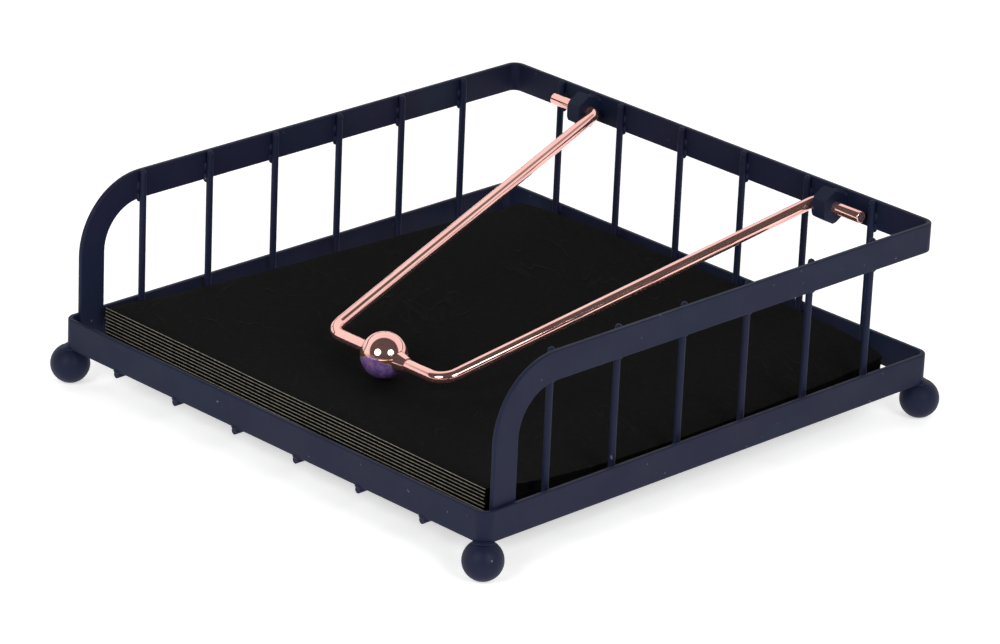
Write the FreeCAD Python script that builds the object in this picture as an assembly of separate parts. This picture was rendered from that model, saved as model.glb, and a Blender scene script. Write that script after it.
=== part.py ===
import FreeCAD, Part
import math
import os

# Flat napkin holder: a square tray of strip and wire on four ball feet, with a
# weighted arm that swings on two nuts at the back and holds the napkins down.
# Millimetres. The frame stands on the table plane: +X right as seen from the open
# front, +Y towards the back, +Z up, origin under the middle of the tray.

Vec = FreeCAD.Vector

# ---- driving dimensions ----
tray_width = 190.0          # outside of the base ring, left to right
tray_depth = 193.0          # outside of the base ring, front to back
ring_strip_height = 10.0    # flat strip on edge, a little taller in the ring than in the rail
rail_strip_height = 9.5
strip_thickness = 1.6
plan_corner_radius = 4.0    # outside radius of every corner seen from above
rail_top_height = 65.0      # top edge of the rail above the table

foot_radius = 6.3
foot_drop = 5.5             # centre of a foot below the ring's lower edge
foot_flat = 0.1             # depth of the small flat that each foot stands on

wire_radius = 1.1
wire_bend_radius = 5.0      # to the wire's centre line
wire_tip_rise = 0.3         # wire tips above the rail's top edge
long_wire_count = 6
cross_wire_count = 6
wire_pitch = 27.6
cross_wire_middle_y = 0.9

post_front_y = -91.9        # front edge of the rail's two front posts
post_bend_radius = 24.0     # outside radius where the rail turns down into a post

nut_across_flats = 10.0
nut_length = 5.5
nut_spacing = 109.0         # between the middles of the two hinge nuts
nut_chamfer = 0.5

rod_radius = 1.95           # the arm's round rod
rod_bend_radius = 3.0
bar_bend_radius = 6.0
pin_clearance = 0.05        # radial, between the rod and a nut's bore
pin_end_x = 68.3            # how far each end of the rod reaches from the middle
arm_half_width_back = 49.1  # corner of the rod beside each nut
arm_half_width_front = 25.2
bar_y = -47.5               # the arm's front bar

ball_radius = 7.4
ball_x = -0.8               # the ball sits a little left of the bar's middle
ball_rest_gap = 0.3         # between the ball and the napkins when the arm is down
collar_radius = 3.1
collar_length = 3.6

napkin_side = 171.5
napkin_count = 9
napkin_thickness = 0.6
napkin_middle_x = -2.0
napkin_front_y = -86.3

# ---- heights and places that follow ----
ring_z = foot_radius + foot_drop - foot_flat
rail_z = rail_top_height - rail_strip_height
wire_top_z = rail_top_height + wire_tip_rise
long_wire_z = ring_z - wire_radius
cross_wire_z = long_wire_z + 2 * wire_radius
stack_z = cross_wire_z + wire_radius

half_width = tray_width / 2
half_depth = tray_depth / 2
rail_half_width = half_width - strip_thickness
back_inner_y = half_depth - strip_thickness
side_wire_x = rail_half_width - strip_thickness - wire_radius
back_wire_y = back_inner_y - wire_radius

pivot_y = back_inner_y - nut_across_flats / 2
pivot_z = rail_z + rail_strip_height / 2
stack_top_z = stack_z + napkin_count * napkin_thickness
bar_z = stack_top_z + ball_rest_gap + ball_radius


# ---- helpers ----
def rounded_rectangle(width, depth, radius, z):
    """Wire of a rectangle with round corners, centred on the Z axis."""
    hx, hy = width / 2, depth / 2
    inner_x, inner_y = hx - radius, hy - radius
    edges = []
    for turn, (cx, cy) in enumerate([(inner_x, inner_y), (-inner_x, inner_y),
                                     (-inner_x, -inner_y), (inner_x, -inner_y)]):
        start = math.radians(90 * turn)
        spots = [Vec(cx + radius * math.cos(start + a), cy + radius * math.sin(start + a), z)
                 for a in (0, math.pi / 4, math.pi / 2)]
        edges.append((Part.Arc(*spots).toShape(), spots[0], spots[2]))
    outline = []
    for index, (arc, first, last) in enumerate(edges):
        outline.append(arc)
        outline.append(Part.makeLine(last, edges[(index + 1) % 4][1]))
    return Part.Wire(outline)


def strip_loop(width, depth, radius, z, height):
    """A closed loop of strip standing on edge."""
    outer = Part.Face(rounded_rectangle(width, depth, radius, z))
    inner = Part.Face(rounded_rectangle(width - 2 * strip_thickness, depth - 2 * strip_thickness,
                                        radius - strip_thickness, z))
    return outer.cut(inner).extrude(Vec(0, 0, height))


def rod_through(points, radius, bend_radii):
    """Round rod along straight runs, with an arc at every point between them."""
    pieces = []
    start = points[0]
    for index in range(1, len(points)):
        corner = points[index]
        way_in = (corner - points[index - 1]).normalize()
        if index == len(points) - 1:
            pieces.append(Part.makeCylinder(radius, (corner - start).Length, start, way_in))
            break
        way_out = (points[index + 1] - corner).normalize()
        turn = way_in.getAngle(way_out)
        bend = bend_radii[index - 1]
        setback = bend * math.tan(turn / 2)
        arc_start = corner - way_in * setback
        axis = way_in.cross(way_out).normalize()
        centre = arc_start + axis.cross(way_in) * bend
        pieces.append(Part.makeCylinder(radius, (arc_start - start).Length, start, way_in))
        section = Part.Face(Part.Wire(Part.makeCircle(radius, arc_start, way_in)))
        pieces.append(section.revolve(centre, axis, math.degrees(turn)))
        start = corner + way_out * setback
    return pieces[0].multiFuse(pieces[1:]).removeSplitter()


def domed(rod, tip, radius):
    """The same rod with a rounded tip."""
    return rod.fuse(Part.makeSphere(radius, tip)).removeSplitter()


# ---- tray ----
def make_base_ring():
    """Closed loop of strip that the feet and the long wires are welded to."""
    return strip_loop(tray_width, tray_depth, plan_corner_radius, ring_z, ring_strip_height)


def make_rail_side(side):
    """One side of the rail: a level run that turns down at the front into a post."""
    outer, inner = post_bend_radius, post_bend_radius - rail_strip_height
    turn_y, turn_z = post_front_y + outer, rail_top_height - outer
    back_y = half_depth - plan_corner_radius
    slant = math.sqrt(0.5)

    def spot(y, z):
        return Vec(side * rail_half_width, y, z)

    outer_arc = Part.Arc(spot(turn_y, rail_top_height),
                         spot(turn_y - outer * slant, turn_z + outer * slant),
                         spot(post_front_y, turn_z)).toShape()
    inner_arc = Part.Arc(spot(turn_y - inner, turn_z),
                         spot(turn_y - inner * slant, turn_z + inner * slant),
                         spot(turn_y, rail_z)).toShape()
    profile = Part.Wire([
        Part.makeLine(spot(back_y, rail_top_height), spot(turn_y, rail_top_height)),
        outer_arc,
        Part.makeLine(spot(post_front_y, turn_z), spot(post_front_y, ring_z)),
        Part.makeLine(spot(post_front_y, ring_z), spot(turn_y - inner, ring_z)),
        Part.makeLine(spot(turn_y - inner, ring_z), spot(turn_y - inner, turn_z)),
        inner_arc,
        Part.makeLine(spot(turn_y, rail_z), spot(back_y, rail_z)),
        Part.makeLine(spot(back_y, rail_z), spot(back_y, rail_top_height)),
    ])
    return Part.Face(profile).extrude(Vec(-side * strip_thickness, 0, 0))


def make_top_rail():
    """The U-shaped rail with its two front posts, one bent strip."""
    loop = strip_loop(2 * rail_half_width, tray_depth, plan_corner_radius, rail_z, rail_strip_height)
    behind = Part.makeBox(tray_width, 2 * plan_corner_radius, 2 * rail_strip_height,
                          Vec(-half_width, half_depth - plan_corner_radius, rail_z - rail_strip_height / 2))
    back = loop.common(behind)
    return back.multiFuse([make_rail_side(-1), make_rail_side(1)]).removeSplitter()


def make_long_wire(x):
    """Wire from under the ring's front edge to the back, and up behind the napkins."""
    front = Vec(x, -half_depth, long_wire_z)
    corner = Vec(x, back_wire_y, long_wire_z)
    tip = Vec(x, back_wire_y, wire_top_z - wire_radius)
    return domed(rod_through([front, corner, tip], wire_radius, [wire_bend_radius]), tip, wire_radius)


def make_cross_wire(y):
    """U-shaped wire: up the left side, across the floor and up the right side."""
    left, right = -side_wire_x, side_wire_x
    tip_z = wire_top_z - wire_radius
    path = [Vec(left, y, tip_z), Vec(left, y, cross_wire_z), Vec(right, y, cross_wire_z), Vec(right, y, tip_z)]
    wire = rod_through(path, wire_radius, [wire_bend_radius, wire_bend_radius])
    return domed(domed(wire, path[0], wire_radius), path[-1], wire_radius)


def make_foot(x_side, y_side):
    """Ball foot, cut level where the ring sits on it and with a small flat to stand on."""
    strip_middle = plan_corner_radius - strip_thickness / 2
    inset = plan_corner_radius - strip_middle * math.sqrt(0.5)
    centre = Vec(x_side * (half_width - inset), y_side * (half_depth - inset), ring_z - foot_drop)
    ball = Part.makeSphere(foot_radius, centre)
    keep = Part.makeBox(4 * foot_radius, 4 * foot_radius, ring_z,
                        Vec(centre.x - 2 * foot_radius, centre.y - 2 * foot_radius, 0))
    return ball.common(keep)


# ---- hinge and arm ----
def make_hinge_nut(side):
    """Hexagonal nut with a plain bore, one flat welded to the rail's inner face."""
    start_x = side * nut_spacing / 2 - nut_length / 2
    corner_radius = nut_across_flats / math.sqrt(3)
    corners = [Vec(start_x, pivot_y + corner_radius * math.sin(math.radians(60 * k)),
                   pivot_z + corner_radius * math.cos(math.radians(60 * k))) for k in range(7)]
    prism = Part.Face(Part.makePolygon(corners)).extrude(Vec(nut_length, 0, 0))
    flat_radius = nut_across_flats / 2
    cone_run = corner_radius - flat_radius + nut_chamfer
    barrel = Part.makeCylinder(corner_radius + 0.5, nut_length, Vec(start_x, pivot_y, pivot_z), Vec(1, 0, 0))
    nose = Part.makeCone(flat_radius + nut_chamfer / 2, corner_radius + 0.6, cone_run,
                         Vec(start_x, pivot_y, pivot_z), Vec(1, 0, 0))
    tail = Part.makeCone(flat_radius + nut_chamfer / 2, corner_radius + 0.6, cone_run,
                         Vec(start_x + nut_length, pivot_y, pivot_z), Vec(-1, 0, 0))
    middle = Part.makeCylinder(corner_radius + 0.6, nut_length - 2 * cone_run,
                               Vec(start_x + cone_run, pivot_y, pivot_z), Vec(1, 0, 0))
    body = prism.common(barrel).common(nose.fuse(middle).fuse(tail))
    bore = Part.makeCylinder(rod_radius + pin_clearance, nut_length + 2,
                             Vec(start_x - 1, pivot_y, pivot_z), Vec(1, 0, 0))
    return body.cut(bore).removeSplitter()


def make_arm_rod():
    """One bent rod: two pin ends, two converging sides and the front bar."""
    points = [Vec(-pin_end_x, pivot_y, pivot_z), Vec(-arm_half_width_back, pivot_y, pivot_z),
              Vec(-arm_half_width_front, bar_y, bar_z), Vec(arm_half_width_front, bar_y, bar_z),
              Vec(arm_half_width_back, pivot_y, pivot_z), Vec(pin_end_x, pivot_y, pivot_z)]
    bends = [rod_bend_radius, bar_bend_radius, bar_bend_radius, rod_bend_radius]
    return rod_through(points, rod_radius, bends)


def turned(profile, closed_by):
    """Solid turned about the front bar's axis from edges that run from hole to hole."""
    outline = Part.Wire(profile + [closed_by])
    return Part.Face(outline).revolve(Vec(0, bar_y, bar_z), Vec(1, 0, 0), 360)


def make_weight_ball():
    """Solid ball on the front bar that presses on the napkins."""
    hole = rod_radius + 0.02
    mouth_x = math.sqrt(ball_radius ** 2 - hole ** 2)
    left, top, right = (Vec(ball_x + x, bar_y, bar_z + z)
                        for x, z in ((-mouth_x, hole), (0, ball_radius), (mouth_x, hole)))
    return turned([Part.Arc(left, top, right).toShape()], Part.makeLine(right, left))


def make_ball_collar():
    """Short tapered sleeve that holds the ball in place on the bar."""
    hole = rod_radius + 0.02
    tip_radius = rod_radius + 0.35

    def on_ball(radius):
        return Vec(ball_x + math.sqrt(ball_radius ** 2 - radius ** 2) + 0.02, bar_y, bar_z + radius)

    seat_in, seat_out = on_ball(hole), on_ball(collar_radius)
    seat_middle = on_ball((hole + collar_radius) / 2)
    tip_x = seat_out.x + collar_length
    tip_out, tip_in = Vec(tip_x, bar_y, bar_z + tip_radius), Vec(tip_x, bar_y, bar_z + hole)
    return turned([Part.Arc(seat_in, seat_middle, seat_out).toShape(), Part.makeLine(seat_out, tip_out),
                   Part.makeLine(tip_out, tip_in)], Part.makeLine(tip_in, seat_in))


# ---- contents ----
def make_napkin(level):
    """One folded napkin lying flat in the stack."""
    corner = Vec(napkin_middle_x - napkin_side / 2, napkin_front_y, stack_z + level * napkin_thickness)
    return Part.makeBox(napkin_side, napkin_side, napkin_thickness, corner)


def main():
    """Make every node and write its STEP file."""
    nodes = {"base_ring": make_base_ring(), "top_rail": make_top_rail()}
    for index in range(long_wire_count):
        nodes["long_wire_%d" % (index + 1)] = make_long_wire(
            wire_pitch * (index - (long_wire_count - 1) / 2))
    for index in range(cross_wire_count):
        nodes["cross_wire_%d" % (index + 1)] = make_cross_wire(
            cross_wire_middle_y + wire_pitch * (index - (cross_wire_count - 1) / 2))
    for y_side, y_word in ((-1, "front"), (1, "back")):
        for x_side, x_word in ((-1, "left"), (1, "right")):
            nodes["foot_%s_%s" % (y_word, x_word)] = make_foot(x_side, y_side)
    nodes["hinge_nut_left"] = make_hinge_nut(-1)
    nodes["hinge_nut_right"] = make_hinge_nut(1)
    nodes["arm_rod"] = make_arm_rod()
    nodes["weight_ball"] = make_weight_ball()
    nodes["ball_collar"] = make_ball_collar()
    for level in range(napkin_count):
        nodes["napkin_%d" % (level + 1)] = make_napkin(level)

    os.makedirs("parts", exist_ok=True)
    for name, shape in nodes.items():
        shape.exportStep("parts/%s.step" % name)


main()
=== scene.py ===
"""Looks of a flat napkin holder: a strip-and-wire tray, a ball-weighted arm and a stack of napkins.

Everything is in metres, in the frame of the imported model: +X right as seen from the open front,
+Y towards the hinge, +Z up, with the table at z = 0.
"""

import logging
import math
from dataclasses import dataclass, field
from enum import Enum
from typing import Callable

import bmesh
import bpy
from mathutils import Matrix, Vector, noise


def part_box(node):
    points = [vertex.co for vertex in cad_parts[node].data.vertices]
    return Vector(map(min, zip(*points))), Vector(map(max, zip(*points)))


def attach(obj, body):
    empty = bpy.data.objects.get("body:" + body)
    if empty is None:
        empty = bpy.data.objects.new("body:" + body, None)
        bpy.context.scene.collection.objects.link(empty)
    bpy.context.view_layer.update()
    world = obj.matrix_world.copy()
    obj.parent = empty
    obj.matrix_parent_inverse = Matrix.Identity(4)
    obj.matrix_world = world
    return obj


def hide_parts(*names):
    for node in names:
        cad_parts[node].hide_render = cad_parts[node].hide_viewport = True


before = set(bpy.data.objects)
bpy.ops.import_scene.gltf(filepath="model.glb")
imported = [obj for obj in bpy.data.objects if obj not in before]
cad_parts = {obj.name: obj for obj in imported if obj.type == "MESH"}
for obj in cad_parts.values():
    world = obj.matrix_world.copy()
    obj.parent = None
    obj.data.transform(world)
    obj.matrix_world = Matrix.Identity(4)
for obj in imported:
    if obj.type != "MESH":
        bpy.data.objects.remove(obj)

MM = 0.001
REPORT = logging.getLogger("napkin_holder")
# Mesh attribute that masks the pale fold line, which is partly paler fibre and partly a painted highlight.
FOLD_EDGE = "fold_edge"
UP = Vector((0, 0, 1))
Colour = tuple[float, float, float]
Stretch = tuple[float, float, float]
Range = tuple[float, float]
Sample = tuple[float, float, float]

# The part of a noise's values that most of it lies in.
NOISE_MIDDLE: Range = (0.35, 0.65)

# Places of the sockets on Blender's Mix node, where one name stands for several of them.
MIX_SHARE = 0
MIX_NUMBERS = (2, 3)
MIX_NUMBER_RESULT = 0
MIX_COLOURS = (6, 7)
MIX_COLOUR_RESULT = 2


class Body(str, Enum):
    """The two bodies that the hinge joins."""

    TRAY = "tray"
    ARM = "arm"


class Slot(str, Enum):
    """Material slots of the record."""

    POWDER = "powder_coat"
    PLATE = "rose_gold_plate"
    PAPER = "napkin_paper"


class Side(Enum):
    """Left and right of the tray, as the sign of X."""

    LEFT = -1
    RIGHT = 1


# ---------------------------------------------------------------- shader helpers
@dataclass
class ShaderGraph:
    """Node graph of one new material, with short calls for the nodes that the finishes share."""

    name: str
    material: bpy.types.Material = field(init=False)
    shader: bpy.types.ShaderNode = field(init=False)

    def __post_init__(self) -> None:
        """Make the material and keep its Principled shader at hand."""
        self.material = bpy.data.materials.new(self.name)
        self.material.use_nodes = True
        self.shader = self.material.node_tree.nodes["Principled BSDF"]

    def node(self, kind: str, **settings: object) -> bpy.types.ShaderNode:
        """Add a node.

        Args:
            kind: Blender's type name of the node.
            **settings: properties of the node, set by name.

        Returns:
            The new node.
        """
        made = self.material.node_tree.nodes.new(kind)
        for key, value in settings.items():
            setattr(made, key, value)
        return made

    def link(self, source: bpy.types.NodeSocket, target: bpy.types.NodeSocket) -> None:
        """Join an output socket to an input socket."""
        self.material.node_tree.links.new(source, target)

    def place(self) -> bpy.types.NodeSocket:
        """Return the socket that gives the place on the piece in metres."""
        return self.node("ShaderNodeTexCoord").outputs["Object"]

    def stretched(self, length: Stretch, turn: float = 0.0) -> bpy.types.NodeSocket:
        """Return the place on the piece in turned axes, with features drawn out along each of them.

        Args:
            length: how much longer a feature gets along the turned X, Y and Z.
            turn: angle of the axes about Z in radians.

        Returns:
            The socket that carries the mapped place.
        """
        mapping = self.node("ShaderNodeMapping", vector_type="TEXTURE")
        mapping.inputs["Scale"].default_value = length
        mapping.inputs["Rotation"].default_value = (0.0, 0.0, turn)
        self.link(self.place(), mapping.inputs["Vector"])
        return mapping.outputs["Vector"]

    def grain(self, scale: float, detail: float = 2.0, place: bpy.types.NodeSocket | None = None,
              roughness: float = 0.5) -> bpy.types.NodeSocket:
        """Add a noise texture.

        Args:
            scale: cells per metre.
            detail: octaves of finer noise.
            place: where the noise is read, the plain object place if left out.
            roughness: weight of the finer octaves.

        Returns:
            The socket that carries the noise, around 0.5.
        """
        texture = self.node("ShaderNodeTexNoise")
        texture.inputs["Scale"].default_value = scale
        texture.inputs["Detail"].default_value = detail
        texture.inputs["Roughness"].default_value = roughness
        self.link(place or self.place(), texture.inputs["Vector"])
        return texture.outputs["Fac"]

    def remap(self, source: bpy.types.NodeSocket, low: float, high: float, to_low: float = 0.0,
              to_high: float = 1.0) -> bpy.types.NodeSocket:
        """Carry a value from one range to another, held inside it.

        Args:
            source: socket of the value.
            low: value that becomes to_low.
            high: value that becomes to_high.
            to_low: lowest result.
            to_high: highest result.

        Returns:
            The socket of the new value.
        """
        ranged = self.node("ShaderNodeMapRange", interpolation_type="SMOOTHSTEP")
        limits = {"From Min": low, "From Max": high, "To Min": to_low, "To Max": to_high}
        for socket, value in limits.items():
            ranged.inputs[socket].default_value = value
        self.link(source, ranged.inputs["Value"])
        return ranged.outputs["Result"]

    def blend(self, share: bpy.types.NodeSocket, first: object,
              second: object) -> bpy.types.NodeSocket:
        """Mix two colours.

        Args:
            share: socket of the second colour's share.
            first: a colour, or the socket of one.
            second: a colour, or the socket of one.

        Returns:
            The socket of the mixed colour.
        """
        mix = self.node("ShaderNodeMix", data_type="RGBA")
        self.link(share, mix.inputs[MIX_SHARE])
        for index, value in zip(MIX_COLOURS, (first, second)):
            if isinstance(value, bpy.types.NodeSocket):
                self.link(value, mix.inputs[index])
            else:
                mix.inputs[index].default_value = (*value, 1.0)
        return mix.outputs[MIX_COLOUR_RESULT]

    def combine(self, operation: str, first: bpy.types.NodeSocket,
                second: object) -> bpy.types.NodeSocket:
        """Join two values with a sum, product or other operation.

        Args:
            operation: Blender's name of the operation.
            first: socket of the first value.
            second: a number, or the socket of one.

        Returns:
            The socket of the result.
        """
        maths = self.node("ShaderNodeMath", operation=operation)
        self.link(first, maths.inputs[0])
        if isinstance(second, bpy.types.NodeSocket):
            self.link(second, maths.inputs[1])
        else:
            maths.inputs[1].default_value = second
        return maths.outputs["Value"]

    def relief(self, height: bpy.types.NodeSocket, strength: float, depth: float,
               under: bpy.types.NodeSocket | None = None) -> bpy.types.NodeSocket:
        """Turn a height into a surface normal.

        Args:
            height: socket of the height, 0 to 1.
            strength: share of the relief that shows.
            depth: height in metres that 1 stands for.
            under: normal that the relief lies on.

        Returns:
            The socket of the normal.
        """
        bump = self.node("ShaderNodeBump")
        bump.inputs["Strength"].default_value = strength
        bump.inputs["Distance"].default_value = depth
        self.link(height, bump.inputs["Height"])
        if under is not None:
            self.link(under, bump.inputs["Normal"])
        return bump.outputs["Normal"]

    def feed(self, **sockets: bpy.types.NodeSocket) -> None:
        """Link sockets to the shader's inputs, named with underscores for spaces."""
        for key, source in sockets.items():
            self.link(source, self.shader.inputs[key.replace("_", " ")])

    def set(self, **values: object) -> None:
        """Set constants on the shader's own sockets, named with underscores for spaces."""
        for key, value in values.items():
            self.shader.inputs[key.replace("_", " ")].default_value = value


# ---------------------------------------------------------------- finishes
@dataclass(frozen=True)
class PowderCoat:
    """Satin powder coat: slate navy, fine orange peel, a few pale specks of dust in the film."""

    base: Colour = (0.0080, 0.0124, 0.0325)
    violet: Colour = (0.0110, 0.0116, 0.0325)
    speck: Colour = (0.10, 0.10, 0.13)
    drift_scale: float = 22.0
    speck_scale: float = 760.0
    speck_edge: Range = (0.850, 0.885)
    peel_scale: float = 1400.0
    peel_depth: float = 0.05 * MM
    lump_scale: float = 260.0
    lump_depth: float = 0.15 * MM
    satin_scale: float = 90.0
    satin: Range = (0.46, 0.56)

    def make(self) -> bpy.types.Material:
        """Build the material and return it."""
        graph = ShaderGraph("powder_coat_navy")
        drift = graph.remap(graph.grain(self.drift_scale), *NOISE_MIDDLE)
        coat = graph.blend(drift, self.base, self.violet)
        specks = graph.remap(graph.grain(self.speck_scale, 0.0), *self.speck_edge)
        soft = graph.relief(graph.grain(self.lump_scale, 1.0), 0.22, self.lump_depth)
        peel = graph.grain(self.peel_scale, 3.0)
        graph.feed(Base_Color=graph.blend(specks, coat, self.speck),
                   Roughness=graph.remap(graph.grain(self.satin_scale, 3.0), 0.3, 0.7, *self.satin),
                   Normal=graph.relief(peel, 0.35, self.peel_depth, soft))
        graph.set(IOR=1.5, Specular_IOR_Level=0.12)
        return graph.material


@dataclass(frozen=True)
class RoseGoldPlate:
    """Polished rose-gold plate with faint smears in the polish."""

    base: Colour = (0.93, 0.49, 0.44)
    warm: Colour = (0.94, 0.55, 0.48)
    shine: float = 0.92
    drift_scale: float = 60.0
    smear_scale: float = 300.0
    smear_length: Stretch = (1.0, 5.0, 1.0)
    smear_turn: float = 0.3
    polish: Range = (0.035, 0.10)
    ripple_scale: float = 420.0
    ripple_depth: float = 0.03 * MM

    def make(self) -> bpy.types.Material:
        """Build the material and return it."""
        graph = ShaderGraph("rose_gold_polished")
        graph.feed(Base_Color=self.tone(graph))
        graph.set(Metallic=self.shine)
        self.smear(graph)
        return graph.material

    def tone(self, graph: ShaderGraph) -> bpy.types.NodeSocket:
        """Return the plate's colour, which drifts a little."""
        drift = graph.remap(graph.grain(self.drift_scale), *NOISE_MIDDLE)
        return graph.blend(drift, self.base, self.warm)

    def smear(self, graph: ShaderGraph) -> None:
        """Give the plate its smears and its faint waviness."""
        place = graph.stretched(self.smear_length, self.smear_turn)
        smears = graph.grain(self.smear_scale, 3.0, place)
        graph.feed(Roughness=graph.remap(smears, 0.3, 0.75, *self.polish),
                   Normal=graph.relief(graph.grain(self.ripple_scale), 0.05, self.ripple_depth))


@dataclass(frozen=True)
class BallPlateWithPaintedReflection(RoseGoldPlate):
    """The ball's plate: rose gold above, and on its underside a painted reflection of the napkins below it,
    violet and mottled, with a painted peach band between it and the rose gold.
    """

    # Colours of the painted reflection on the ball's underside and of the painted peach band above it.
    violet: Colour = (0.30, 0.17, 0.46)
    painted_reflection_dusk: Colour = (0.17, 0.09, 0.33)
    painted_rim_colour: Colour = (0.95, 0.50, 0.30)
    middle_z: float = 0.0
    painted_reflection_edge: Range = (-0.2 * MM, 1.6 * MM)
    painted_rim_edge: Range = (1.0 * MM, 2.6 * MM)
    painted_reflection_shine: float = 0.25
    wander: float = 1.6 * MM
    wander_scale: float = 230.0
    mottle_scale: float = 520.0

    def below(self, graph: ShaderGraph, level: bpy.types.NodeSocket,
              edge: Range) -> bpy.types.NodeSocket:
        """Return 1 below a soft edge and 0 above it.

        Args:
            graph: the material's graph.
            level: socket of the height.
            edge: where the edge begins and ends, from the ball's middle.

        Returns:
            The socket of the share.
        """
        low, high = edge
        return graph.remap(level, self.middle_z + low, self.middle_z + high, 1.0, 0.0)

    def make(self) -> bpy.types.Material:
        """Build the material and return it."""
        graph = ShaderGraph("rose_gold_ball_painted_reflection")
        height = graph.node("ShaderNodeSeparateXYZ")
        graph.link(graph.place(), height.inputs["Vector"])
        waver = graph.remap(graph.grain(self.wander_scale, 3.0), 0.25, 0.75, -self.wander, self.wander)
        level = graph.combine("ADD", height.outputs["Z"], waver)
        # Painted reflection: below the ball's middle, a mottled violet with less metal stands in for the
        # napkins that the ball reflects, with a painted peach band just above it.
        painted_reflection_share = self.below(graph, level, self.painted_reflection_edge)
        mottle = graph.remap(graph.grain(self.mottle_scale, 3.0), *NOISE_MIDDLE)
        painted_reflection_colour = graph.blend(mottle, self.violet, self.painted_reflection_dusk)
        plate = graph.blend(self.below(graph, level, self.painted_rim_edge), self.tone(graph), self.painted_rim_colour)
        graph.feed(Base_Color=graph.blend(painted_reflection_share, plate, painted_reflection_colour),
                   Metallic=graph.remap(painted_reflection_share, 0.0, 1.0, self.shine, self.painted_reflection_shine))
        self.smear(graph)
        return graph.material


@dataclass(frozen=True)
class NapkinPaper:
    """Black tissue: soft crepe grain, scattered creases, and along the front of each folded edge a pale line
    that is partly paler fibre and partly a painted highlight.
    """

    base: Colour = (0.0042, 0.0042, 0.0041)
    faded: Colour = (0.0062, 0.0061, 0.0058)
    # Colour of the pale fold line: partly paler fibre, partly a painted highlight.
    fold: Colour = (0.34, 0.315, 0.255)
    crease_scale: float = 60.0
    crease_length: Stretch = (0.45, 2.6, 1.0)
    crease_turns: Range = (0.62, 1.05)
    crease_width: float = 0.02
    crease_depth: float = 0.4 * MM
    patch_scale: float = 30.0
    patch_turn: float = 1.0
    patch_edge: Range = (0.56, 0.66)
    mottle_scale: float = 500.0
    mottle_edge: Range = (0.45, 0.75)
    fibre_scale: float = 1900.0
    fibre_depth: float = 0.06 * MM
    thread_scale: float = 900.0
    thread_length: Stretch = (1.0, 3.0, 3.0)
    thread_tone: Range = (0.55, 1.0)

    def creases(self, graph: ShaderGraph, turn: float) -> bpy.types.NodeSocket:
        """Return short ridges that run one way across the sheet.

        Args:
            graph: the material's graph.
            turn: angle of the ridges about Z in radians.

        Returns:
            The socket of the ridges' height.
        """
        noise_place = graph.stretched(self.crease_length, turn)
        line = graph.combine("SUBTRACT", graph.grain(self.crease_scale, 1.0, noise_place), 0.5)
        away = graph.combine("ABSOLUTE", line, 0.0)
        ridge = graph.remap(away, 0.0, self.crease_width, 1.0, 0.0)
        patch_place = graph.stretched((1.0, 1.0, 1.0), turn + self.patch_turn)
        patch = graph.remap(graph.grain(self.patch_scale, 1.0, patch_place), *self.patch_edge)
        return graph.combine("MULTIPLY", ridge, patch)

    def make(self) -> bpy.types.Material:
        """Build the material and return it."""
        graph = ShaderGraph("napkin_tissue_black")
        ridges = [self.creases(graph, turn) for turn in self.crease_turns]
        creases = graph.combine("MAXIMUM", *ridges)
        mottle = graph.remap(graph.grain(self.mottle_scale, 3.0), *self.mottle_edge)
        cloth = graph.blend(graph.combine("MAXIMUM", mottle, creases), self.base, self.faded)
        # Pale fold line, partly paler fibre and partly a painted highlight, on the front of each fold's
        # nose.
        fold_fibre_and_highlight = graph.node("ShaderNodeAttribute", attribute_name=FOLD_EDGE).outputs["Fac"]
        thread = graph.remap(graph.grain(self.thread_scale, 2.0, graph.stretched(self.thread_length)),
                             0.25, 0.6, *self.thread_tone)
        colour = graph.blend(graph.combine("MULTIPLY", fold_fibre_and_highlight, thread), cloth, self.fold)
        grain = graph.relief(graph.grain(self.fibre_scale, 4.0), 0.25, self.fibre_depth)
        graph.feed(Base_Color=colour, Normal=graph.relief(creases, 0.6, self.crease_depth, grain))
        graph.set(Roughness=0.95, Specular_IOR_Level=0.05)
        return graph.material


@dataclass(frozen=True)
class FloorPaper:
    """Plain pale studio paper."""

    base: Colour = (0.90, 0.90, 0.90)
    cloud: Colour = (0.88, 0.88, 0.885)
    glow: float = 0.50

    def make(self) -> bpy.types.Material:
        """Build the material and return it."""
        graph = ShaderGraph("studio_paper")
        graph.feed(Base_Color=graph.blend(graph.grain(3.0), self.base, self.cloud))
        graph.set(Roughness=0.9, Specular_IOR_Level=0.1, Emission_Color=(1.0, 1.0, 1.0, 1.0),
                  Emission_Strength=self.glow)
        return graph.material


# ---------------------------------------------------------------- mesh helpers
def new_piece(name: str, mesh: bpy.types.Mesh, material: bpy.types.Material, body: Body) -> bpy.types.Object:
    """Make a shown piece from a finished mesh.

    Args:
        name: name of the piece.
        mesh: its mesh, in the row frame.
        material: its finish.
        body: the body that it moves with.

    Returns:
        The new object.
    """
    piece = bpy.data.objects.new(name, mesh)
    bpy.context.scene.collection.objects.link(piece)
    mesh.materials.append(material)
    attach(piece, body.value)
    REPORT.info("%s: %d faces on %s", name, len(mesh.polygons), body.value)
    return piece


def mesh_from(name: str, draw: Callable[[bmesh.types.BMesh], None]) -> bpy.types.Mesh:
    """Make a smooth mesh.

    Args:
        name: name of the mesh.
        draw: adds the faces to the empty bmesh that it is given.

    Returns:
        The new mesh.
    """
    shape = bmesh.new()
    draw(shape)
    bmesh.ops.recalc_face_normals(shape, faces=shape.faces)
    for face in shape.faces:
        face.smooth = True
    mesh = bpy.data.meshes.new(name)
    shape.to_mesh(mesh)
    shape.free()
    return mesh


def middle_of(node: str) -> Vector:
    """Return the middle of a CAD node's box at rest."""
    low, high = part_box(node)
    return (low + high) / 2


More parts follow.
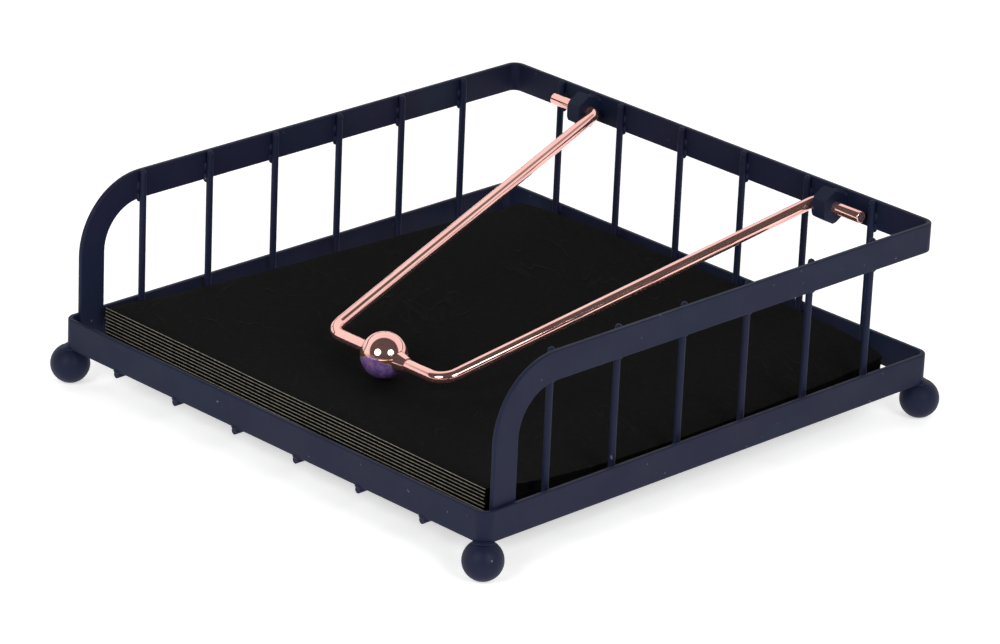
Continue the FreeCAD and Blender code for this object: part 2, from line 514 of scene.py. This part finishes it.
def soften_edges(piece: bpy.types.Object, width: float, corner: float = 40.0) -> None:
    """Round the sharp edges of a node with modifiers, which leaves its own mesh as it is.

    Args:
        piece: the node's object.
        width: width of the rounding in metres.
        corner: edges that turn by more than this many degrees are rounded.
    """
    weld = piece.modifiers.new("join_faces", "WELD")
    weld.merge_threshold = 0.002 * MM
    plain = piece.modifiers.new("join_flats", "DECIMATE")
    plain.decimate_type = "DISSOLVE"
    plain.angle_limit = math.radians(1.0)
    bevel = piece.modifiers.new("round_edges", "BEVEL")
    bevel.width = width
    bevel.segments = 3
    bevel.limit_method = "ANGLE"
    bevel.angle_limit = math.radians(corner)
    bevel.harden_normals = True
    bevel.use_clamp_overlap = True


@dataclass(frozen=True)
class BeadSize:
    """Size of one kind of weld bead, and how finely its surface is divided."""

    length: float
    width: float
    height: float
    rings: int = 7
    spokes: int = 14


@dataclass(frozen=True)
class WeldBead:
    """A small lens of weld metal under paint, long in one direction and sunk into the strip."""

    centre: Vector
    along: Vector
    out: Vector
    size: BeadSize
    fullness: float = 0.8
    ripple: float = 0.08
    ripple_scale: float = 900.0

    def draw(self, shape: bmesh.types.BMesh) -> None:
        """Add the bead to a bmesh, with its surface a little uneven.

        Args:
            shape: the bmesh that takes the faces.
        """
        across = self.along.cross(self.out)
        rings, spokes = self.size.rings, self.size.spokes
        loops = []
        for ring in range(1, rings):
            polar = math.pi * ring / rings
            spots = [self.spot(polar, 2 * math.pi * spoke / spokes, across) for spoke in range(spokes)]
            loops.append([shape.verts.new(spot) for spot in spots])
        tips = [shape.verts.new(self.spot(polar, 0.0, across)) for polar in (0.0, math.pi)]
        for first, second in zip(loops, loops[1:]):
            for k in range(spokes):
                n = (k + 1) % spokes
                shape.faces.new((first[k], first[n], second[n], second[k]))
        for tip, loop in ((tips[0], loops[0]), (tips[1], loops[-1])):
            for k in range(spokes):
                shape.faces.new((tip, loop[k], loop[(k + 1) % spokes]))

    def spot(self, polar: float, turn: float, across: Vector) -> Vector:
        """Return one point of the bead's surface.

        Args:
            polar: angle from the bead's long axis.
            turn: angle round the long axis.
            across: unit vector across the bead.

        Returns:
            The point in the row frame.
        """
        round_off = math.sin(polar) ** self.fullness
        spot = (self.centre + self.along * (self.size.length / 2 * math.cos(polar))
                + across * (self.size.width / 2 * round_off * math.cos(turn))
                + self.out * (self.size.height * round_off * math.sin(turn)))
        ripple = noise.noise(spot * self.ripple_scale) * self.ripple * self.size.height
        return spot + (spot - self.centre).normalized() * ripple if polar else spot


def build_beads(name: str, beads: list[WeldBead], finish: bpy.types.Material) -> None:
    """Build a set of the tray's weld beads as one piece.

    Args:
        name: name of the piece.
        beads: its beads.
        finish: its finish.
    """
    mesh = mesh_from(name, lambda shape: [bead.draw(shape) for bead in beads])
    new_piece(name, mesh, finish, Body.TRAY)


# ---------------------------------------------------------------- tray
@dataclass
class WireTray:
    """The powder-coated tray: base ring, rail, wires, ball feet and hinge nuts, with their welds."""

    finish: bpy.types.Material
    strip_rounding: float = 0.45 * MM
    nut_rounding: float = 0.7 * MM
    wires: int = 6
    rail_strip: float = 9.5 * MM
    rail_bead_share: float = 0.55
    rail_bead_lift: float = 0.6 * MM
    ring_bead_drop: float = 1.0 * MM
    nut_bead_step: float = 3.0 * MM
    strip_bead: BeadSize = BeadSize(3.4 * MM, 3.5 * MM, 0.7 * MM)
    front_bead: BeadSize = BeadSize(2.4 * MM, 3.6 * MM, 1.0 * MM)
    crossing_bead: BeadSize = BeadSize(2.9 * MM, 2.6 * MM, 0.75 * MM, rings=5, spokes=10)
    foot_bead: BeadSize = BeadSize(6.8 * MM, 4.6 * MM, 0.9 * MM, rings=9, spokes=18)
    nut_bead: BeadSize = BeadSize(6.4 * MM, 2.6 * MM, 1.1 * MM)

    def nodes(self) -> list[str]:
        """Return the names of the tray's metal nodes."""
        rows = [f"{row}_wire_{k}" for row in ("long", "cross") for k in range(1, self.wires + 1)]
        feet = [f"foot_{end}_{side}" for end in ("front", "back") for side in ("left", "right")]
        return ["base_ring", "top_rail", "hinge_nut_left", "hinge_nut_right", *rows, *feet]

    def dress(self) -> None:
        """Give every metal node its finish and its rounded edges."""
        for name in self.nodes():
            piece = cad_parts[name]
            piece.material_slots[0].material = self.finish
            REPORT.info("%s: dressed", name)
        soften_edges(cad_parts["base_ring"], self.strip_rounding)
        soften_edges(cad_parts["top_rail"], self.strip_rounding)
        for side in ("left", "right"):
            soften_edges(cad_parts[f"hinge_nut_{side}"], self.nut_rounding, 25.0)

    def build(self) -> None:
        """Build the welds, which are pieces of their own."""
        self.build_strip_welds()
        self.build_crossing_welds()
        self.build_foot_welds()
        self.build_nut_welds()

    def cross_wire_beads(self, rail_face: float, heights: Range) -> list[WeldBead]:
        """Return the beads where the cross wires touch the inside of the rail.

        Args:
            rail_face: distance of the rail's inner faces from the middle.
            heights: the heights of the two beads on each end of a wire.

        Returns:
            The beads of both sides.
        """
        beads = []
        for k in range(1, self.wires + 1):
            middle = middle_of(f"cross_wire_{k}")
            for side in Side:
                for z in heights:
                    spot = Vector((side.value * rail_face, middle.y, z))
                    beads.append(WeldBead(spot, UP, Vector((-side.value, 0, 0)), self.strip_bead))
        return beads

    def long_wire_beads(self, heights: Range) -> list[WeldBead]:
        """Return the beads where the long wires touch the rail, the ring's back and its front.

        Args:
            heights: the heights of the two beads on the rail.

        Returns:
            The beads of every long wire.
        """
        ring_low, ring_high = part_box("base_ring")
        strip = ring_high.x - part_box("top_rail")[1].x
        back_heights = (*heights, ring_high.z - self.ring_bead_drop)
        beads = []
        for k in range(1, self.wires + 1):
            middle = middle_of(f"long_wire_{k}")
            for z in back_heights:
                spot = Vector((middle.x, ring_high.y - strip, z))
                beads.append(WeldBead(spot, UP, Vector((0, -1, 0)), self.strip_bead))
            front = Vector((middle.x, ring_low.y + strip / 2, ring_low.z))
            beads.append(WeldBead(front, Vector((0, 1, 0)), -UP, self.front_bead))
        return beads

    def build_strip_welds(self) -> None:
        """Build the beads between the wires and the strips."""
        ring_high, rail_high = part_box("base_ring")[1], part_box("top_rail")[1]
        rail_face = 2 * rail_high.x - ring_high.x
        heights = (rail_high.z - self.rail_bead_share * self.rail_strip,
                   rail_high.z - self.rail_strip + self.rail_bead_lift)
        beads = [*self.cross_wire_beads(rail_face, heights), *self.long_wire_beads(heights)]
        build_beads("strip_welds", beads, self.finish)

    def build_crossing_welds(self) -> None:
        """Build the small beads where the long wires carry the cross wires."""
        along = Vector((1, 1, 0)).normalized()
        beads = []
        for k in range(1, self.wires + 1):
            long_x = middle_of(f"long_wire_{k}").x
            for n in range(1, self.wires + 1):
                cross = f"cross_wire_{n}"
                spot = Vector((long_x, middle_of(cross).y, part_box(cross)[0].z))
                beads.append(WeldBead(spot, along, UP, self.crossing_bead))
        build_beads("crossing_welds", beads, self.finish)

    def build_foot_welds(self) -> None:
        """Build a thin collar of weld where each ball foot meets the ring."""
        ring_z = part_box("base_ring")[0].z
        beads = []
        for end in ("front", "back"):
            for side in ("left", "right"):
                middle = middle_of(f"foot_{end}_{side}")
                along = Vector((-math.copysign(1, middle.x), math.copysign(1, middle.y), 0)).normalized()
                beads.append(WeldBead(Vector((middle.x, middle.y, ring_z)), along, -UP, self.foot_bead))
        build_beads("foot_welds", beads, self.finish)

    def build_nut_welds(self) -> None:
        """Build the beads above and below each hinge nut, along the rail."""
        beads = []
        for side in ("left", "right"):
            nut = f"hinge_nut_{side}"
            middle = middle_of(nut)
            for step in (-self.nut_bead_step, self.nut_bead_step):
                spot = Vector((middle.x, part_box(nut)[1].y, middle.z + step))
                beads.append(WeldBead(spot, Vector((1, 0, 0)), Vector((0, -1, 0)), self.nut_bead))
        build_beads("nut_welds", beads, self.finish)


# ---------------------------------------------------------------- arm
@dataclass
class WeightedArm:
    """The rose-gold arm: bent rod, weight ball and its collar."""

    finish: bpy.types.Material
    ball_finish: bpy.types.Material
    end_rounding: float = 0.35 * MM

    def dress(self) -> None:
        """Give the arm's nodes their finish, and round the rod's cut ends."""
        for name, finish in (("arm_rod", self.finish), ("weight_ball", self.ball_finish),
                             ("ball_collar", self.finish)):
            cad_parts[name].material_slots[0].material = finish
            REPORT.info("%s: dressed", name)
        soften_edges(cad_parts["arm_rod"], self.end_rounding)


# ---------------------------------------------------------------- napkins
@dataclass
class NapkinStack:
    """Folded napkins. Each is one square sheet folded in four, with its double fold at the front."""

    finish: bpy.types.Material
    count: int = 9
    side: float = 174.0 * MM
    middle_x: float = -2.0 * MM
    front_y: float = -85.8 * MM
    skew: float = math.radians(-0.95)
    back_narrowing: float = 0.055
    rest_height: float = 20.4 * MM
    front_lift: float = 3.9 * MM
    back_lift: float = 2.7 * MM
    lift_reach: float = 34.0 * MM
    back_reach: float = 20.4 * MM
    back_tilt: float = 0.2
    tilt_width: float = 90.0 * MM
    ball_clearance: float = 0.12 * MM
    dip_reach: float = 24.0 * MM
    corner_droop: float = 3.2 * MM
    corner_reach: float = 24.0 * MM
    right_droop: float = 4.3 * MM
    right_reach: float = 11.0 * MM
    pinch: float = 0.42
    pinch_reach: float = 5.0 * MM
    nose_fade: float = 1.6
    ply_gap: float = 0.24 * MM
    ply_fill: float = 0.94
    slide_x: float = 0.9 * MM
    slide_y: float = 0.10 * MM
    edge_drift: float = 0.35 * MM
    lump: float = 0.10 * MM
    lump_scale: float = 22.0
    cells: int = 44
    fold_cells: int = 8
    floor_z: float = field(init=False)
    ball: Vector = field(init=False)
    dip: float = field(init=False)

    def __post_init__(self) -> None:
        """Read where the stack lies, and how deep the ball presses into it."""
        self.floor_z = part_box("napkin_1")[0].z
        self.ball = middle_of("weight_ball")
        ball_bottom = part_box("weight_ball")[0].z
        self.dip = self.base_top(self.ball.x, self.ball.y) - ball_bottom + self.ball_clearance

    def build(self) -> None:
        """Build every napkin of the stack, from the lowest up."""
        for level in range(self.count):
            self.build_napkin(level)

    def base_top(self, x: float, y: float) -> float:
        """Return the stack's height without the ball's dip.

        Args:
            x: place across the tray.
            y: place from front to back.

        Returns:
            The height of the top napkin.
        """
        back_y = self.front_y + self.side
        from_front = max(0.0, y - self.front_y)
        from_back = max(0.0, back_y - y)
        from_right = max(0.0, self.middle_x + self.side / 2 - x)
        from_corner = math.hypot(x - (self.middle_x - self.side / 2), y - back_y)
        near_front = math.exp(-from_front / self.lift_reach)
        near_back = math.exp(-from_back / self.back_reach)
        tilt = 1 + self.back_tilt * (x / self.tilt_width - 1)
        height = self.rest_height + self.front_lift * near_front + self.back_lift * near_back * tilt
        height -= self.right_droop * (1 - near_front) * math.exp(-from_right / self.right_reach)
        return height - self.corner_droop * math.exp(-from_corner / self.corner_reach)

    def top(self, x: float, y: float) -> float:
        """Return the height of the stack's top, with the dip under the ball.

        Args:
            x: place across the tray.
            y: place from front to back.

        Returns:
            The height of the top napkin.
        """
        away = math.hypot(x - self.ball.x, y - self.ball.y)
        return self.base_top(x, y) - self.dip * math.exp(-(away / self.dip_reach) ** 2)

    def steps(self) -> list[Sample]:
        """Return samples along a direction that is folded once in its middle.

        Returns:
            For each sample its share of the way from the open edge to the fold, how far it
            has turned over, from 0 to 1, and its angle on the fold's nose.
        """
        out = [(k / self.cells, 0.0, -math.pi / 2) for k in range(self.cells)]
        for k in range(self.fold_cells + 1):
            angle = -math.pi / 2 + math.pi * k / self.fold_cells
            out.append((1.0, (1 + math.sin(angle)) / 2, angle))
        return out + [(share, 1.0, math.pi / 2) for share, _, _ in reversed(out[:self.cells])]

    def folded(self, across: Sample, along: Sample) -> tuple[float, float]:
        """Return one point of the folded napkin, seen from above.

        Args:
            across: sample of the fold at the left.
            along: sample of the fold at the front.

        Returns:
            Its distance from the left fold and from the front fold.
        """
        nose_x = 0.5 * self.ply_gap
        nose_y = self.ply_gap * (1.5 - across[1]) * self.pinch
        from_left = self.side * (1 - across[0]) + nose_x * (1 - math.cos(across[2]))
        inner_ply = self.ply_gap * self.pinch * across[1]
        from_front = self.side * (1 - along[0]) + inner_ply + nose_y * (1 - math.cos(along[2]))
        return from_left, from_front

    def place(self, level: int, across: Sample, along: Sample) -> Vector:
        """Return one point of a napkin in the stack.

        The fixed numbers given to the noise are places in it, apart for each use.

        Args:
            level: the napkin's place in the stack, from 0.
            across: sample of the fold at the left.
            along: sample of the fold at the front.

        Returns:
            The point in the row frame.
        """
        from_left, from_front = self.folded(across, along)
        share_x, share_y = from_left / self.side - 0.5, from_front / self.side
        slide_x = self.slide_x * noise.noise(Vector((level * 1.7, 0.3, 5.0)))
        slide_y = self.slide_y * noise.noise(Vector((2.1, level * 1.3, 9.0)))
        drift = self.edge_drift * noise.noise(Vector((share_x * 5, level * 2.3, 1.0)))
        width = self.side * (1 - self.back_narrowing * share_y)
        x = self.middle_x + share_x * width + slide_x
        y = self.front_y + from_front + slide_y + drift * share_y
        x, y = x + self.skew * -(y - self.front_y), y + self.skew * (x - self.middle_x)
        height = self.top(x, y) - self.floor_z
        lump_place = Vector((x * self.lump_scale, y * self.lump_scale, level * 0.25))
        height += self.lump * noise.noise(lump_place)
        ply = across[1] + 3 * along[1] - 2 * across[1] * along[1]
        open_up = self.pinch + (1 - self.pinch) * (1 - math.exp(-from_front / self.pinch_reach))
        share = (level + 0.5 + (ply - 1.5) / 4 * self.ply_fill * open_up) / self.count
        return Vector((x, y, self.floor_z + height * share))

    def build_napkin(self, level: int) -> None:
        """Build one folded napkin.

        Args:
            level: its place in the stack, from 0.
        """
        samples = self.steps()
        shape = bmesh.new()
        edge = shape.verts.layers.float.new(FOLD_EDGE)
        grid = []
        for across in samples:
            column = []
            for along in samples:
                vert = shape.verts.new(self.place(level, across, along))
                # Share of the pale fold line, partly paler fibre and partly a painted highlight: 1 on the
                # front of the fold's nose, none on its top and underside.
                vert[edge] = max(0.0, 1 - self.nose_fade * (1 - math.cos(along[2])))
                column.append(vert)
            grid.append(column)
        for left, right in zip(grid, grid[1:]):
            for k in range(len(samples) - 1):
                face = shape.faces.new((left[k], right[k], right[k + 1], left[k + 1]))
                face.smooth = True
        mesh = bpy.data.meshes.new(f"folded_napkin_{level + 1}")
        shape.to_mesh(mesh)
        shape.free()
        piece = new_piece(mesh.name, mesh, self.finish, Body.TRAY)
        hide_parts(f"napkin_{level + 1}")


# ---------------------------------------------------------------- studio
@dataclass(frozen=True)
class Studio:
    """Plain pale floor, a pale room behind the holder, and two round soft lamps beside the camera."""

    floor_finish: bpy.types.Material
    target: Vector = Vector((0.0, 1.09 * MM, 25.65 * MM))
    azimuth: float = math.radians(45.024)
    elevation: float = math.radians(22.407)
    roll: float = math.radians(2.53)
    distance: float = 1591.39 * MM
    lens: float = 183.82
    lamp_turn: float = math.radians(36.0)
    lamp_rise: float = math.radians(7.0)
    lamp_distance: float = 1.0
    lamp_size: float = 0.50
    lamp_power: float = 4.6
    room_light: float = 1.10
    room_dark: float = 0.05
    dark_rise: float = math.radians(20.0)
    dark_edge: Range = (0.26, 0.38)
    floor_reach: float = 9.0
    film_width: float = 36.0
    clip: Range = (0.05, 60.0)

    def back(self, turn: float = 0.0, rise: float = 0.0) -> Vector:
        """Return the unit vector from the holder towards the camera.

        Args:
            turn: added to the azimuth, in radians.
            rise: added to the elevation, in radians.

        Returns:
            The unit vector.
        """
        azimuth, elevation = self.azimuth + turn, self.elevation + rise
        return Vector((math.sin(azimuth) * math.cos(elevation), -math.cos(azimuth) * math.cos(elevation),
                       math.sin(elevation)))

    def build(self) -> None:
        """Build the floor, the room, the lamps and the camera."""
        self.build_floor()
        self.build_room()
        for turn in (-self.lamp_turn, self.lamp_turn):
            self.build_lamp(turn)
        self.build_camera()
        bpy.context.scene.view_settings.view_transform = "Standard"

    def build_floor(self) -> None:
        """Build the table's flat surface."""
        def draw(shape: bmesh.types.BMesh) -> None:
            """Add a flat grid."""
            bmesh.ops.create_grid(shape, x_segments=8, y_segments=8, size=self.floor_reach)
        mesh = mesh_from("studio_floor", draw)
        mesh.materials.append(self.floor_finish)
        floor = bpy.data.objects.new("studio_floor", mesh)
        bpy.context.scene.collection.objects.link(floor)

    def build_room(self) -> None:
        """Light the scene from a pale room behind the holder and a dim one in front of it."""
        world = bpy.data.worlds.new("studio_room")
        bpy.context.scene.world = world
        world.use_nodes = True
        nodes, links = world.node_tree.nodes, world.node_tree.links
        shine = nodes["Background"]
        place = nodes.new("ShaderNodeTexCoord")
        facing = nodes.new("ShaderNodeVectorMath")
        facing.operation = "DOT_PRODUCT"
        facing.inputs[1].default_value = self.back(rise=self.dark_rise)
        links.new(place.outputs["Generated"], facing.inputs[0])
        ramp = nodes.new("ShaderNodeMapRange")
        ramp.interpolation_type = "SMOOTHSTEP"
        ramp.inputs["From Min"].default_value = self.dark_edge[0]
        ramp.inputs["From Max"].default_value = self.dark_edge[1]
        ramp.inputs["To Min"].default_value = self.room_light
        ramp.inputs["To Max"].default_value = self.room_dark
        links.new(facing.outputs["Value"], ramp.inputs["Value"])
        ray = nodes.new("ShaderNodeLightPath")
        pale = nodes.new("ShaderNodeMix")
        links.new(ray.outputs["Is Camera Ray"], pale.inputs[MIX_SHARE])
        links.new(ramp.outputs["Result"], pale.inputs[MIX_NUMBERS[0]])
        pale.inputs[MIX_NUMBERS[1]].default_value = 1.0
        links.new(pale.outputs[MIX_NUMBER_RESULT], shine.inputs["Strength"])
        shine.inputs["Color"].default_value = (1.0, 1.0, 1.0, 1.0)

    def build_lamp(self, turn: float) -> None:
        """Build one round soft lamp that faces the holder.

        Args:
            turn: angle from the camera's azimuth, in radians.
        """
        light = bpy.data.lights.new("soft_lamp", "AREA")
        light.shape = "DISK"
        light.size = self.lamp_size
        light.energy = self.lamp_power
        lamp = bpy.data.objects.new("soft_lamp", light)
        bpy.context.scene.collection.objects.link(lamp)
        way = self.back(turn, self.lamp_rise)
        lamp.location = self.target + way * self.lamp_distance
        lamp.rotation_euler = (-way).to_track_quat("-Z", "Y").to_euler()

    def build_camera(self) -> None:
        """Build the camera, which leans by a small roll."""
        back = self.back()
        right = (-back).cross(UP).normalized()
        up = right.cross(-back)
        cos, sin = math.cos(self.roll), math.sin(self.roll)
        axes = (right * cos + up * sin, up * cos - right * sin, back)
        place = Matrix([[axis[row] for axis in axes] for row in range(3)]).to_4x4()
        place.translation = self.target + back * self.distance
        data = bpy.data.cameras.new("camera")
        data.sensor_width = self.film_width
        data.lens = self.lens
        data.clip_start, data.clip_end = self.clip
        camera = bpy.data.objects.new("camera", data)
        bpy.context.scene.collection.objects.link(camera)
        camera.matrix_world = place
        bpy.context.scene.camera = camera


def main() -> None:
    logging.basicConfig(level=logging.INFO, format="%(name)s: %(message)s")
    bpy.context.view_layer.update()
    tray = WireTray(PowderCoat().make())
    tray.dress()
    tray.build()
    ball_finish = BallPlateWithPaintedReflection(middle_z=middle_of("weight_ball").z).make()
    WeightedArm(RoseGoldPlate().make(), ball_finish).dress()
    NapkinStack(NapkinPaper().make()).build()
    Studio(FloorPaper().make()).build()


if __name__ == "__main__":
    main()
